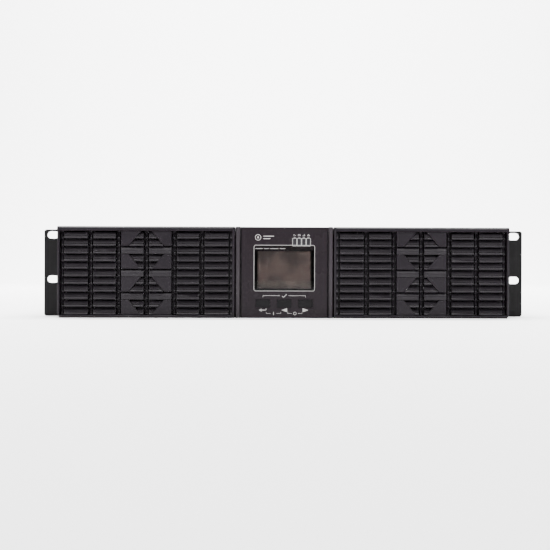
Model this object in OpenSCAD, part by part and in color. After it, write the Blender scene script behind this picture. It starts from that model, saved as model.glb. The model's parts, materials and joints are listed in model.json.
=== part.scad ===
// Rack-mount uninterruptible power supply, two units high, for a 19-inch cabinet.
// Millimetres. X runs to the right seen from the front, Y runs from front to rear, Z is up.
// The origin is the middle of the footprint, on the surface that the unit rests on.

/* [Chassis] */
// Width of the chassis across its side walls
chassis_w = 430; // [428:1:432]
// Depth of the chassis from front sheet to rear sheet
chassis_d = 396; // [396:2:420]
// Height of the chassis with its cover
chassis_h = 86.4; // [86:0.1:86.8]
// Thickness of the steel sheet
sheet = 1.2; // [1:0.1:1.4]

/* [Rack ears] */
// Width across both ears
ear_span = 482.6; // [482:0.1:483]
// Height of an ear
ear_h = 86.8; // [86.6:0.1:88]
// Distance between the left and the right slots
slot_spacing_x = 465.1; // [464:0.1:466]
// Distance between the lower and the upper slot of an ear
slot_spacing_z = 44.45; // [44.45:0.05:44.5]
// Length of a mounting slot
slot_l = 11.6; // [11:0.1:13]
// Height of a mounting slot
slot_h = 7.2; // [7:0.1:8]

/* [Bezel] */
// Width across both grilles
bezel_w = 437; // [436:0.5:438]
// Height of the bezel
bezel_h = 88.4; // [88.2:0.1:88.8]
// Distance that the bezel stands in front of the chassis
bezel_d = 42; // [40:1:46]
// Width of each pull-off grille
grille_w = 170.4; // [170:0.1:170.5]
// Louvres in each grille
louvre_rows = 11; // [11:1:11]
// Upright grooves in each grille
groove_count = 7; // [7:1:7]
// Width of the glossy display fascia
fascia_w = 82.4; // [81:0.1:82.5]

/* [Controls] */
// Width of a button cap
button_w = 13.2; // [12:0.1:14]
// Height of a button cap
button_h = 6.9; // [6:0.1:7.2]
// Distance between neighbouring buttons
button_pitch = 20.6; // [20.4:0.1:21]
// Travel of a button
button_travel = 0.8; // [0.5:0.1:0.8]

/* [Batteries] */
// Length of a battery, laid across the tray
battery_l = 151; // [149:0.5:151]
// Height of a battery from its base to its lid, laid along the tray
battery_w = 94; // [92:0.5:94]
// Width of a battery, upright in the tray
battery_h = 65; // [62:0.5:65]

/* [Fans] */
// Side of a square fan frame
fan_size = 80; // [80:1:80]
// Thickness of a fan
fan_t = 25; // [20:1:25]
// Blades on a fan rotor
blade_count = 7; // [5:1:9]

/* [Hidden] */

// Front faces. The bezel and the rear fittings reach equally far from the origin.
rear_reach = 6;
total_d = bezel_d + chassis_d + rear_reach;
bezel_y = -total_d / 2;
panel_y = bezel_y + bezel_d;
rear_y = panel_y + chassis_d;
wall_x = chassis_w / 2;
inner_x = wall_x - sheet;
cover_z = chassis_h - sheet;
panel_back = panel_y + sheet;
rear_inside = rear_y - sheet;

// Ears
ear_t = 2;
ear_x = ear_span / 2;
ear_side_l = 50;
slot_x = slot_spacing_x / 2;
slot_top_z = ear_h - 5.5;
slot_z = [slot_top_z - slot_spacing_z, slot_top_z];
ear_screw_y = [panel_y + 16, panel_y + 38];
ear_screw_z = [24, 60];

// Grilles
grille_x = [bezel_w / 2 - grille_w, bezel_w / 2];
grille_wall = 2.2;
band_top = 4.7;
band_bottom = 2.9;
row_pitch = (bezel_h - band_top - band_bottom) / louvre_rows;
groove_w = 5.3;
groove_pitch = 26.75;
groove_depth = 9;
groove_wall = 1.2;
end_groove_w = [1.8, 4.4];
end_groove_x = [grille_x[0] + 4.9, grille_x[1] - 4.5];
blade_depth = 12;
motif_u = [groove_w / 2, groove_pitch - groove_w / 2];
motif_wide = 16.7;
motif_narrow = 4.7;
peg_x = [72, 192];
peg_z = 79.2;
peg_r = 2.5;
tab_z = [10, 22];
tab_inner_x = [grille_x[0], grille_x[0] + grille_wall];
tab_outer_x = [209.6, 212.2];

// Display
pillar_x = [42.7, 47.1];
fascia_y = bezel_y + 0.6;
fascia_t = 3;
fascia_back = fascia_y + fascia_t;
fascia_z = [0.8, bezel_h - 0.8];
rim_y = fascia_y + 6.4;
flange_y = [rim_y, rim_y + 2.4];
housing_back_y = panel_y - 2.4;
lens_x = 29;
lens_z = [26.6, 70.2];
lcd_x = 27;
lcd_z = [27.6, 65.8];
board_y = [fascia_y + 14.4, fascia_y + 16];
button_z = 14.2;
light_x = 9.9;
light_pitch = 4.46;
light_z = 73.3;
light_size = [3.2, 7];
board_screw_x = 32.6;
board_screw_z = [12.5, 76];
fascia_screw_x = 30;
fascia_screw_z = [4.8, bezel_h - 4.8];

// Battery bay, on the left behind the left grille
bay_x = [-208, -52];
bay_top = 72.4;
divider_x = [-46, -46 + sheet];
bay_back_y = rear_y - 66;
tray_x = [bay_x[0] + 1, bay_x[1] - 1];
tray_t = 1;
tray_z = sheet + 0.3;
tray_back = bay_back_y - 14;
battery_mid_x = (bay_x[0] + bay_x[1]) / 2;
terminal_l = 6;
battery_pitch = battery_w + terminal_l + 2;
battery_count = 3;
battery_y0 = panel_back + 0.8;
plug_x = -130;
plug_z = 40;
plug_size = [24, 16];
socket_y = [tray_back + 3, bay_back_y + 14];

// Rear panel. Distances along X are to each fitting's middle.
fan_x = [85.5, 168];
fan_z = 43.2;
fan_y = [rear_inside - fan_t, rear_inside];
fan_bore = fan_size / 2 - 2;
outlet_x = [-96, -62.5, -29];
outlet_z = [25, 56];
outlet_size = [31, 24.6];
inlet_x = 14;
inlet_z = 61;
inlet_size = [50, 24];
breaker_x = 0;
earth_x = 28;
low_z = 26;
breaker_r = 6;
card_x = [-205, -123];
card_z = [48, 80];
port_board_z = 10;
usb_x = -194;
serial_x = -165;
network_x = [-140, -123];

// Power electronics
board_z = 8;
board_t = 1.6;
board_top = board_z + board_t;
board_x = [-40, 206];
power_y = [-118, 168];
standoff_x = [-34, 66, 126, 200];
standoff_y = [-110, 30, 162];
clear_hole = 0.3;

// ---------- Building blocks ----------

// Limits of a length l that starts at a, and of a width w centred on c.
function from(a, l) = [a, a + l];
function about(c, w) = [c - w / 2, c + w / 2];

// Block between two limits along each axis.
module block(x, y, z) {
    translate([x[0], y[0], z[0]])
        cube([x[1] - x[0], y[1] - y[0], z[1] - z[0]]);
}

// Upright cylinder.
module rod_z(x, y, r, z) {
    translate([x, y, z[0]])
        cylinder(h = z[1] - z[0], r = r, $fn = 48);
}

// Cylinder along Y.
module rod_y(x, z, r, y) {
    translate([x, y[0], z])
        rotate([-90, 0, 0])
            cylinder(h = y[1] - y[0], r = r, $fn = 48);
}

// Cylinder along X.
module rod_x(y, z, r, x) {
    translate([x[0], y, z])
        rotate([0, 90, 0])
            cylinder(h = x[1] - x[0], r = r, $fn = 48);
}

// Outline drawn in X and Z, given a thickness along Y.
module plate_y(y) {
    translate([0, y[1], 0])
        rotate([90, 0, 0])
            linear_extrude(y[1] - y[0])
                children();
}

// Outline drawn in Y and Z, given a length along X.
module run_x(x) {
    translate([x[0], 0, 0])
        rotate([90, 0, 90])
            linear_extrude(x[1] - x[0])
                children();
}

// Outline drawn in X and Y, given a height.
module slab_z(z) {
    translate([0, 0, z[0]])
        linear_extrude(z[1] - z[0])
            children();
}

// Straight slot with round ends, long along its own X.
module slot_2d(l, h) {
    square([l - h, h], center = true);
    for (side = [-1, 1])
        translate([side * (l - h) / 2, 0])
            circle(d = h, $fn = 32);
}

// Square with rounded corners.
module round_rect(w, h, r) {
    square([w - 2 * r, h], center = true);
    square([w, h - 2 * r], center = true);
    for (sx = [-1, 1], sy = [-1, 1])
        translate([sx * (w / 2 - r), sy * (h / 2 - r)])
            circle(r = r, $fn = 32);
}

// Pan-head screw along Y, with its head at y and its shank of length l running in direction d.
module screw_y(x, z, y, d, l, r = 1.5) {
    head_h = 1.3 * r;
    shank = d > 0 ? [y, y + l] : [y - l, y];
    head = d > 0 ? [y - head_h, y] : [y, y + head_h];
    slot = d > 0 ? [y - head_h - 1, y - head_h * 0.5] : [y + head_h * 0.5, y + head_h + 1];
    difference() {
        union() {
            rod_y(x, z, r, shank);
            rod_y(x, z, 2 * r, head);
        }
        block([x - 1.5 * r, x + 1.5 * r], slot, [z - 0.2 * r, z + 0.2 * r]);
        block([x - 0.2 * r, x + 0.2 * r], slot, [z - 1.5 * r, z + 1.5 * r]);
    }
}

// Pan-head screw along X on a side wall, with its head outside.
module screw_x(side, y, z, x, l, r = 1.5) {
    head_h = 1.3 * r;
    mirror([side < 0 ? 1 : 0, 0, 0])
        difference() {
            union() {
                rod_x(y, z, r, [x - l, x]);
                rod_x(y, z, 2 * r, [x, x + head_h]);
            }
            block([x + head_h * 0.5, x + head_h + 1], [y - 1.5 * r, y + 1.5 * r],
                  [z - 0.2 * r, z + 0.2 * r]);
            block([x + head_h * 0.5, x + head_h + 1], [y - 0.2 * r, y + 0.2 * r],
                  [z - 1.5 * r, z + 1.5 * r]);
        }
}

// Wire through a list of points, with its corners rounded off.
wire_sides = 8;
wire_bend = 4;
wire_reference = [0.31, 0.53, 0.79];
function unit(v) = v / norm(v);
function towards(a, b) = a + min(wire_bend, norm(b - a) / 3) * unit(b - a);
function bent(p) = [
    p[0],
    for (i = [1 : 1 : len(p) - 2]) each [towards(p[i], p[i - 1]), towards(p[i], p[i + 1])],
    p[len(p) - 1]
];
function heading(p, i) = unit(
    (i > 0 ? unit(p[i] - p[i - 1]) : [0, 0, 0]) + (i < len(p) - 1 ? unit(p[i + 1] - p[i]) : [0, 0, 0])
);
function ring(p, i, r) = let (t = heading(p, i), a = unit(cross(t, wire_reference)), b = cross(t, a)) [
    for (k = [0 : wire_sides - 1])
        p[i] + r * (cos(360 * k / wire_sides) * a + sin(360 * k / wire_sides) * b)
];

module wire(points, r) {
    p = bent(points);
    n = wire_sides;
    last = (len(p) - 1) * n;
    polyhedron(
        points = [for (i = [0 : len(p) - 1]) each ring(p, i, r)],
        faces = [
            [for (k = [0 : n - 1]) k],
            [for (k = [n - 1 : -1 : 0]) last + k],
            for (i = [0 : len(p) - 2], k = [0 : n - 1]) let (a = i * n + k, b = i * n + (k + 1) % n)
                each [[a, a + n, b], [b, a + n, b + n]]
        ]
    );
}

// ---------- Chassis ----------

cover_screw_y = [panel_y + 60, panel_y + 200, rear_y - 40];
cover_screw_z = cover_z - 7;
cover_flange = 14;
tab_height = [18, 66];
rear_screw_z = [28, 56];
housing_screw_x = 38;
housing_screw_z = [8, bezel_h - 12];

// Vent slots through a side wall.
module side_vents() {
    for (i = [0 : 13])
        block([-wall_x - 1, wall_x + 1], [panel_y + 90 + 9 * i, panel_y + 94 + 9 * i], [22, 60]);
}

// Floor and both side walls, folded from one sheet.
module chassis_base() {
    color("#2b2a2c")
        difference() {
            union() {
                block([-wall_x, wall_x], [panel_y, rear_y], [0, sheet]);
                for (side = [-1, 1])
                    mirror([side < 0 ? 1 : 0, 0, 0])
                        block([inner_x, wall_x], [panel_y, rear_y], [sheet, cover_z]);
            }
            side_vents();
            for (y = ear_screw_y, z = ear_screw_z)
                rod_x(y, z, 2 + clear_hole, [-wall_x - 1, wall_x + 1]);
            for (y = cover_screw_y)
                rod_x(y, cover_screw_z, 1.5 + clear_hole, [-wall_x - 1, wall_x + 1]);
            for (z = rear_screw_z)
                rod_x(rear_y - 8, z, 1.5 + clear_hole, [-wall_x - 1, wall_x + 1]);
        }
}

// Lid with a flange inside each side wall.
module top_cover() {
    color("#2d2c2e")
        difference() {
            union() {
                block([-wall_x, wall_x], [panel_y, rear_y], [cover_z, chassis_h]);
                for (side = [-1, 1])
                    mirror([side < 0 ? 1 : 0, 0, 0])
                        block([inner_x - sheet, inner_x], [panel_y + 4, rear_y - 4],
                              [cover_z - cover_flange, cover_z]);
            }
            for (y = cover_screw_y)
                rod_x(y, cover_screw_z, 1.5 + clear_hole, [-wall_x - 1, wall_x + 1]);
        }
}

// Hole in the front sheet for a grille's pegs and tabs.
module grille_holes() {
    for (side = [-1, 1])
        mirror([side < 0 ? 1 : 0, 0, 0]) {
            for (x = peg_x)
                rod_y(x, peg_z, 4.6, [panel_y - 1, panel_back + 1]);
            for (x = [tab_inner_x, tab_outer_x])
                block([x[0] - 0.4, x[1] + 0.4], [panel_y - 1, panel_back + 1],
                      [tab_z[0] - 0.4, tab_z[1] + 0.4]);
        }
}

// Front sheet, with the battery doorway and the air intake.
module front_panel() {
    color("#39383b")
        difference() {
            union() {
                block([-inner_x, inner_x], [panel_y, panel_back], [sheet, cover_z]);
                for (side = [-1, 1])
                    mirror([side < 0 ? 1 : 0, 0, 0])
                        block([inner_x - sheet, inner_x], [panel_back, ear_screw_y[1] + 6], tab_height);
            }
            block(bay_x, [panel_y - 1, panel_back + 1], [sheet - 1, bay_top]);
            for (i = [0 : 15], z = [16, 35, 54])
                block([58 + 9 * i, 63 + 9 * i], [panel_y - 1, panel_back + 1], [z, z + 15]);
            block([-16, 16], [panel_y - 1, panel_back + 1], [30, 58]);
            for (sx = [-1, 1], z = housing_screw_z)
                rod_y(sx * housing_screw_x, z, 1.5 + clear_hole, [panel_y - 1, panel_back + 1]);
            for (y = ear_screw_y, z = ear_screw_z)
                rod_x(y, z, 2 + clear_hole, [-wall_x - 1, wall_x + 1]);
            grille_holes();
        }
}

// Wall round the battery bay, folded from one sheet.
module bay_divider() {
    color("#8f9194")
        difference() {
            union() {
                block(divider_x, [panel_back, bay_back_y], [sheet, cover_z]);
                block([-inner_x + sheet, divider_x[1]], [bay_back_y, bay_back_y + sheet],
                      [sheet, cover_z - 15]);
                block(divider_x, [bay_back_y, bay_back_y + sheet], [cover_z - 15, cover_z]);
            }
            block([plug_x - 16.4, plug_x + 16.4], [bay_back_y - 1, bay_back_y + sheet + 1],
                  [plug_z - 12.4, plug_z + 12.4]);
        }
}

// Ear with its side plate, on the right.
module ear_shape() {
    difference() {
        union() {
            plate_y([panel_y, panel_y + ear_t])
                difference() {
                    translate([(wall_x + ear_x) / 2, ear_h / 2])
                        round_rect(ear_x - wall_x, ear_h, 2.5);
                    translate([wall_x - 1, -1])
                        square([1, ear_h + 2]);
                }
            block([wall_x, wall_x + ear_t], [panel_y, panel_y + ear_side_l], [0, ear_h]);
        }
        for (z = slot_z)
            translate([slot_x, panel_y - 1, z])
                rotate([-90, 0, 0])
                    linear_extrude(ear_t + 2)
                        slot_2d(slot_l, slot_h);
        for (y = ear_screw_y, z = ear_screw_z)
            rod_x(y, z, 2 + clear_hole, [wall_x - 1, wall_x + ear_t + 1]);
    }
}

module rack_ear_right() {
    color("#2a282a")
        ear_shape();
}

module rack_ear_left() {
    color("#2a282a")
        mirror([1, 0, 0])
            ear_shape();
}

// Screws that hold the ears and the front sheet's tabs.
module ear_screws() {
    color("#77787a")
        for (side = [-1, 1], y = ear_screw_y, z = ear_screw_z)
            screw_x(side, y, z, wall_x + ear_t, 8, 2);
}

// Screws of the cover, the rear panel and the display housing.
module case_screws() {
    color("#6d6e70") {
        for (side = [-1, 1], y = cover_screw_y)
            screw_x(side, y, cover_screw_z, wall_x, 6);
        for (side = [-1, 1], z = rear_screw_z)
            screw_x(side, rear_y - 8, z, wall_x, 6);
        for (sx = [-1, 1], z = housing_screw_z)
            screw_y(sx * housing_screw_x, z, panel_back, -1, 3.2);
    }
}

// ---------- Pull-off grilles ----------

motif_x = (grille_x[0] + grille_x[1]) / 2 - 0.3;
rib_w = 1.5;
rib_shift = -0.3;
facet_gap = 0.45;
facet_head = 0.15;
facet_face = 0.7;
facet_back = groove_depth + 0.5;
corner_cut = 2;
band_rows = [3, 6, 9];
widening_rows = [1, 7];
narrowing_rows = [4, 10];

// Height of the line above row n, counted from the top.
function row_top(n) = bezel_h - band_top - (n - 1) * row_pitch;

// Section of one louvre: rounded lip, groove, face leaning back, a blade behind, and a
// baffle that hangs from the blade so that nobody sees straight through.
// Each point is [distance behind the front, share of the row's height].
louvre_section = [
    [0.6, 0.035], [0.15, 0.06], [0, 0.11], [0.25, 0.18], [1.1, 0.3], [1.9, 0.31],
    [1.9, 0.37], [1.0, 0.38], [2.4, 0.79], [3, 0.84], [4.6, 0.84], [4.4, 0.26],
    [blade_depth, 0.22], [blade_depth, -0.3], [blade_depth - 1, -0.3], [blade_depth - 1, 0.035]
];

// Section of a smooth bar that fills one row of the motif.
band_section = [
    [facet_face, 0.03], [0.3, 0.38], [0.2, 0.46], [0.5, 0.56], [1.9, 0.9], [2.6, 0.95],
    [facet_back, 0.95], [facet_back, 0.03]
];

// Section of a groove's rib, which waves in and out once in each row.
rib_section = [
    [3.6, 0], [2.8, 0.07], [2.5, 0.15], [2.9, 0.24], [4, 0.31], [3.3, 0.36],
    [4.6, 0.8], [5, 0.9], [4.5, 1], [groove_depth + 2, 1], [groove_depth + 2, 0]
];

// A row's section at its place behind the front face.
module row_section(section, row) {
    z = row_top(row) - row_pitch;
    polygon([for (p = section) [bezel_y + p.x, z + p.y * row_pitch]]);
}

// Frame of the grille: top band, bottom band, end walls, open at the back.
module grille_frame() {
    difference() {
        union() {
            run_x(grille_x)
                polygon([
                    [bezel_y + 0.9, bezel_h - band_top + 0.2], [bezel_y, bezel_h - band_top + 0.8],
                    [bezel_y + 0.5, bezel_h - 1.6], [bezel_y + 1.7, bezel_h - 0.4],
                    [bezel_y + 2.8, bezel_h],
                    [panel_y, bezel_h], [panel_y, bezel_h - grille_wall],
                    [bezel_y + 8, bezel_h - grille_wall], [bezel_y + 5, bezel_h - band_top + 0.2]
                ]);
            run_x(grille_x)
                polygon([
                    [bezel_y, 0.8], [bezel_y, band_bottom - 0.7], [bezel_y + 0.6, band_bottom - 0.2],
                    [bezel_y + 6, band_bottom - 0.2], [panel_y, grille_wall], [panel_y, 0],
                    [bezel_y + 0.8, 0]
                ]);
            block([grille_x[0], grille_x[0] + grille_wall], [bezel_y, panel_y], [1, bezel_h - 1]);
            slab_z([1, bezel_h - 1])
                polygon([
                    [grille_x[1] - grille_wall, bezel_y], [grille_x[1] - 0.9, bezel_y],
                    [grille_x[1] - 0.2, bezel_y + 0.5], [grille_x[1], bezel_y + 1.4],
                    [grille_x[1], panel_y], [grille_x[1] - grille_wall, panel_y]
                ]);
        }
        translate([grille_x[1], 0, 0])
            rotate([0, 45, 0])
                block([-corner_cut, corner_cut], [bezel_y - 1, panel_y + 1],
                      [-corner_cut, corner_cut] * 0.7);
    }
}

// Outline of a smooth facet on one side of the motif, from row first to row first + 1.
module facet_2d(first, u_top, u_bottom, gap) {
    z_top = row_top(first) - (gap > 0 ? facet_head : 0);
    z_bottom = row_top(first + 2) + gap;
    polygon([
        [u_top, z_top], [motif_u[1], z_top], [motif_u[1], z_bottom], [u_bottom, z_bottom]
    ]);
}

// All eight facets, with the thickness given along Y.
module facets(y, gap) {
    for (side = [0, 1])
        translate([motif_x, 0, 0])
            mirror([side, 0, 0]) {
                for (first = widening_rows)
                    plate_y(y)
                        facet_2d(first, motif_narrow + gap, motif_wide + gap, gap);
                for (first = narrowing_rows)
                    plate_y(y)
                        facet_2d(first, motif_wide + gap, motif_narrow + gap, gap);
            }
}

// X limits of the motif's two columns.
function motif_column(side) = side < 0
    ? [motif_x - motif_u[1], motif_x - motif_u[0]]
    : [motif_x + motif_u[0], motif_x + motif_u[1]];

// Middle and width of groove i, counted from the display. The end ones hug the end walls.
last_groove = groove_count - 1;
function groove_x(i) =
    i == 0 ? end_groove_x[0] :
    i == last_groove ? end_groove_x[1] :
    motif_x + (i - last_groove / 2) * groove_pitch;
function groove_width(i) = i == 0 ? end_groove_w[0] : i == last_groove ? end_groove_w[1] : groove_w;

// Louvres with the grooves and the motif cut out of their faces.
module louvres() {
    difference() {
        for (row = [1 : louvre_rows])
            run_x([grille_x[0] + grille_wall - 0.4, grille_x[1] - grille_wall + 0.4])
                row_section(louvre_section, row);
        for (i = [0 : last_groove])
            block(about(groove_x(i), groove_width(i)), [bezel_y - 1, bezel_y + groove_depth],
                  [band_bottom - 1, bezel_h - band_top]);
        facets([bezel_y - 1, bezel_y + groove_depth], 0);
        for (row = band_rows, side = [-1, 1])
            block(motif_column(side), [bezel_y - 1, bezel_y + groove_depth],
                  [row_top(row + 1) + 0.05, row_top(row) - 0.05]);
    }
}

// Pegs along the top and tabs low down, which hold the grille on the front sheet.
module grille_catches() {
    for (x = peg_x) {
        rod_y(x, peg_z, peg_r, [bezel_y + 8, panel_y + 9]);
        block([x - 1, x + 1], [bezel_y + 8, panel_y - 4], [peg_z, bezel_h - 1]);
    }
    block(tab_inner_x, [panel_y - 1, panel_y + 8], tab_z);
    block(tab_outer_x, [bezel_y + 8, panel_y + 8], tab_z);
}

// Grille on the right of the display.
module grille_shape() {
    grille_frame();
    louvres();
    for (i = [1 : last_groove], row = [1 : louvre_rows])
        run_x(about(groove_x(i) + rib_shift, rib_w))
            row_section(rib_section, row);
    for (i = [0 : last_groove])
        block(about(groove_x(i), groove_width(i) + 1), from(bezel_y + groove_depth, groove_wall),
              [band_bottom - 1, bezel_h - band_top]);
    facets([bezel_y + facet_face, bezel_y + facet_back], facet_gap);
    for (row = band_rows, side = [-1, 1])
        run_x(motif_column(side))
            row_section(band_section, row);
    grille_catches();
}

module right_grille() {
    color("#3a383b")
        grille_shape();
}

module left_grille() {
    color("#3a383b")
        mirror([1, 0, 0])
            grille_shape();
}

// Bushes in the front sheet that grip the grilles' pegs.
module grille_sockets() {
    color("#1c1c1d")
        for (sx = [-1, 1], x = peg_x)
            difference() {
                union() {
                    rod_y(sx * x, peg_z, 5.5, [panel_y - 1.2, panel_y]);
                    rod_y(sx * x, peg_z, 4.5, [panel_y - 0.1, panel_y + 8]);
                }
                rod_y(sx * x, peg_z, peg_r + clear_hole, [panel_y - 2, panel_y + 9]);
            }
}

// ---------- Display ----------

pillar_r = 2.2;
cable_window = [14, 12];
button_x = [-button_pitch, 0, button_pitch];
button_gap = 0.35;

// Frame between the grilles: rounded pillars, a flange for the fascia, and a back wall.
module display_housing() {
    color("#343235")
        difference() {
            union() {
                for (side = [0, 1])
                    mirror([side, 0, 0]) {
                        slab_z([0, bezel_h])
                            translate([(pillar_x[0] + pillar_x[1]) / 2, bezel_y + 6])
                                round_rect(pillar_x[1] - pillar_x[0], 12, pillar_r - 0.02);
                        block(pillar_x, [bezel_y + 8, panel_y], [0, bezel_h]);
                    }
                block([-pillar_x[0], pillar_x[0]], [flange_y[0], panel_y], [0, 2.4]);
                block([-pillar_x[0], pillar_x[0]], [flange_y[0], panel_y], [bezel_h - 2.4, bezel_h]);
                block([-pillar_x[0], pillar_x[0]], flange_y, [0, bezel_h]);
                block([-pillar_x[0], pillar_x[0]], [housing_back_y, panel_y], [0, bezel_h]);
            }
            block([-37.6, 37.6], [flange_y[0] - 1, flange_y[1] + 1], [9, bezel_h - 9]);
            block([-cable_window[0], cable_window[0]], [housing_back_y - 1, panel_y + 1],
                  [44 - cable_window[1], 44 + cable_window[1]]);
            for (sx = [-1, 1], z = fascia_screw_z)
                rod_y(sx * fascia_screw_x, z, 1.25 + clear_hole, [flange_y[0] - 1, flange_y[1] + 1]);
            for (sx = [-1, 1], z = housing_screw_z)
                rod_y(sx * housing_screw_x, z, 1.5, [housing_back_y - 1, panel_y + 1]);
        }
}

// Glossy front of the display, with bosses behind for its screws.
module display_fascia() {
    color("#1d1b1d")
        difference() {
            union() {
                difference() {
                    plate_y([fascia_y, rim_y])
                        translate([0, (fascia_z[0] + fascia_z[1]) / 2])
                            round_rect(fascia_w, fascia_z[1] - fascia_z[0], 1.6);
                    block([2 - fascia_w / 2, fascia_w / 2 - 2], [fascia_back, rim_y + 1],
                          [fascia_z[0] + 2, fascia_z[1] - 2]);
                }
                for (sx = [-1, 1], z = fascia_screw_z)
                    rod_y(sx * fascia_screw_x, z, 3, [fascia_back - 1, rim_y]);
                for (sx = [-1, 1], z = board_screw_z)
                    rod_y(sx * board_screw_x, z, 2.8, [fascia_back - 1, board_y[0]]);
            }
            for (sx = [-1, 1], z = fascia_screw_z)
                rod_y(sx * fascia_screw_x, z, 1.25, [fascia_back, rim_y + 1]);
            for (sx = [-1, 1], z = board_screw_z)
                rod_y(sx * board_screw_x, z, 1.25, [fascia_back, board_y[0] + 1]);
            block([-lens_x, lens_x], [fascia_y - 1, fascia_y + 1.5], lens_z);
            block([1 - lcd_x, lcd_x - 1], [fascia_y, fascia_back + 1], [lcd_z[0] + 1, lcd_z[1] - 1]);
            for (x = button_x)
                block([x - button_w / 2 - button_gap, x + button_w / 2 + button_gap],
                      [fascia_y - 1, fascia_back + 1],
                      [button_z - button_h / 2 - button_gap, button_z + button_h / 2 + button_gap]);
            light_holes();
        }
}

// Openings for the light guides.
module light_holes() {
    for (i = [0 : 3]) {
        x = light_x + i * light_pitch;
        block(about(x, light_size[0]), [fascia_y - 1, board_y[0] - 3],
              [light_z - light_size[1] / 2 + 0.4, light_z + light_size[1] / 2]);
    }
}

// Small screws of the fascia and the display board.
module display_screws() {
    color("#8b8c8e") {
        for (sx = [-1, 1], z = fascia_screw_z)
            screw_y(sx * fascia_screw_x, z, flange_y[1], -1, 5, 1.2);
        for (sx = [-1, 1], z = board_screw_z)
            screw_y(sx * board_screw_x, z, board_y[1], -1, 6, 1.2);
    }
}

// Clear window in front of the liquid-crystal display.
module display_lens() {
    color("#4a4547")
        block([-lens_x, lens_x], [fascia_y + 0.1, fascia_y + 1.5], lens_z);
}

// Liquid-crystal display in its holder.
module lcd_module() {
    color("#8a7f78") {
        block([-lcd_x, lcd_x], [fascia_back, fascia_back + 6], lcd_z);
        block([2 - lcd_x, lcd_x - 2], [fascia_y + 1.7, fascia_back + 1], [lcd_z[0] + 2, lcd_z[1] - 2]);
    }
}

// Circuit board behind the fascia.
module display_board() {
    color("#1f4d33")
        difference() {
            block([-36, 36], board_y, [10, bezel_h - 9.4]);
            for (sx = [-1, 1], z = board_screw_z)
                rod_y(sx * board_screw_x, z, 1.25 + clear_hole, [board_y[0] - 1, board_y[1] + 1]);
        }
}

// One switch behind each button.
module tact_switches() {
    color("#26262a")
        for (x = button_x) {
            block([x - 3, x + 3], [board_y[0] - 3.5, board_y[0]], [button_z - 3, button_z + 3]);
            rod_y(x, button_z, 1.7, [board_y[0] - 4.4, board_y[0] - 3]);
        }
}

// Four light guides and their lamps.
module status_lights() {
    color("#3b3a40")
        for (i = [0 : 3]) {
            x = light_x + i * light_pitch;
            block([x - light_size[0] / 2 + 0.1, x + light_size[0] / 2 - 0.1],
                  [fascia_y + 0.1, board_y[0] - 4],
                  [light_z - light_size[1] / 2 + 0.5, light_z + light_size[1] / 2 - 0.1]);
            rod_y(x, light_z, 1.4, [board_y[0] - 4.1, board_y[0]]);
        }
}

// Button: cap through the fascia, flange behind it, and a stem towards its switch.
module button_shape(x) {
    stem_end = board_y[0] - 4.5 - button_travel;
    plate_y([bezel_y, fascia_back + 1])
        translate([x, button_z])
            round_rect(button_w, button_h, 0.8);
    block(about(x, button_w + 2.4),
          [fascia_back + 0.05, fascia_back + 1.2], about(button_z, button_h + 2.4));
    rod_y(x, button_z, 2, [fascia_back + 1, stem_end]);
}

module enter_button() {
    color("#232124")
        button_shape(button_x[0]);
}

module left_button() {
    color("#232124")
        button_shape(button_x[1]);
}

module right_button() {
    color("#232124")
        button_shape(button_x[2]);
}

// Flat cable from the display board to the control board, as a band round its path.
ribbon_t = 0.9;
ribbon_z = [36, 52];
ribbon_path = [
    [0, board_y[1], 0], [0, panel_y - 14, 0], [-14, panel_y + 14, 0], [-28.5, panel_y + 34, 0],
    [-28.5, -112, 0]
];
function beside(p, i, d) = let (t = heading(p, i)) [p[i].x - t.y * d, p[i].y + t.x * d];
module ribbon_cable() {
    last = len(ribbon_path) - 1;
    color("#7d8086")
        slab_z(ribbon_z)
            polygon([
                for (i = [0 : last]) beside(ribbon_path, i, ribbon_t / 2),
                for (i = [last : -1 : 0]) beside(ribbon_path, i, -ribbon_t / 2)
            ]);
}

// ---------- Power electronics ----------

// Main circuit board.
module power_board() {
    color("#23482f")
        difference() {
            block(board_x, power_y, [board_z, board_top]);
            for (x = standoff_x, y = standoff_y)
                rod_z(x, y, 1.5 + clear_hole, [board_z - 1, board_top + 1]);
        }
}

// Hexagonal posts under the main board, each with its screw.
module board_standoffs() {
    color("#b59a55")
        for (x = standoff_x, y = standoff_y) {
            translate([x, y, sheet])
                cylinder(h = board_z - sheet, r = 3.5, $fn = 6);
            rod_z(x, y, 1.5, [board_z - 1, board_top + 2]);
            rod_z(x, y, 2.8, [board_top, board_top + 2]);
        }
}

heatsink_web_x = [84, 170];
heatsink_y = [-60, 150];
heatsink_z = [board_top + 1.4, 74];
heatsink_fin_l = 26;
fin_count = 8;
fin_pitch = 8;

// Finned profiles, with the fins facing each other across the airway, on feet.
module heatsinks() {
    color("#b4b6b8")
        for (side = [0, 1]) {
            x = heatsink_web_x[side];
            sx = side == 0 ? 1 : -1;
            fin_x = side == 0 ? [x, x + heatsink_fin_l] : [x - heatsink_fin_l, x];
            block([x - 2.5, x + 2.5], heatsink_y, heatsink_z);
            for (i = [0 : fin_count - 1])
                block(fin_x, heatsink_y, from(heatsink_z[0] + i * fin_pitch, 1.6));
            for (y = [heatsink_y[0] + 10, heatsink_y[1] - 10])
                rod_z(x, y, 2.5, [board_top, heatsink_z[0] + 1]);
        }
}

// Power transistors clamped to the heatsinks' outer faces.
transistor_size = [16, 5, 21];
module power_transistors() {
    color("#1d1d1e")
        for (side = [0, 1], i = [0 : 4]) {
            y = heatsink_y[0] + 22 + i * 36;
            x = heatsink_web_x[side] + (side == 0 ? -2.5 - transistor_size.y : 2.5);
            translate([x, y, 24])
                cube([transistor_size.y, transistor_size.x, transistor_size.z]);
            for (k = [-1 : 1])
                translate([x + 2, y + 7.4 + k * 5, board_top])
                    cube([0.9, 1.2, 15]);
        }
}

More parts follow.
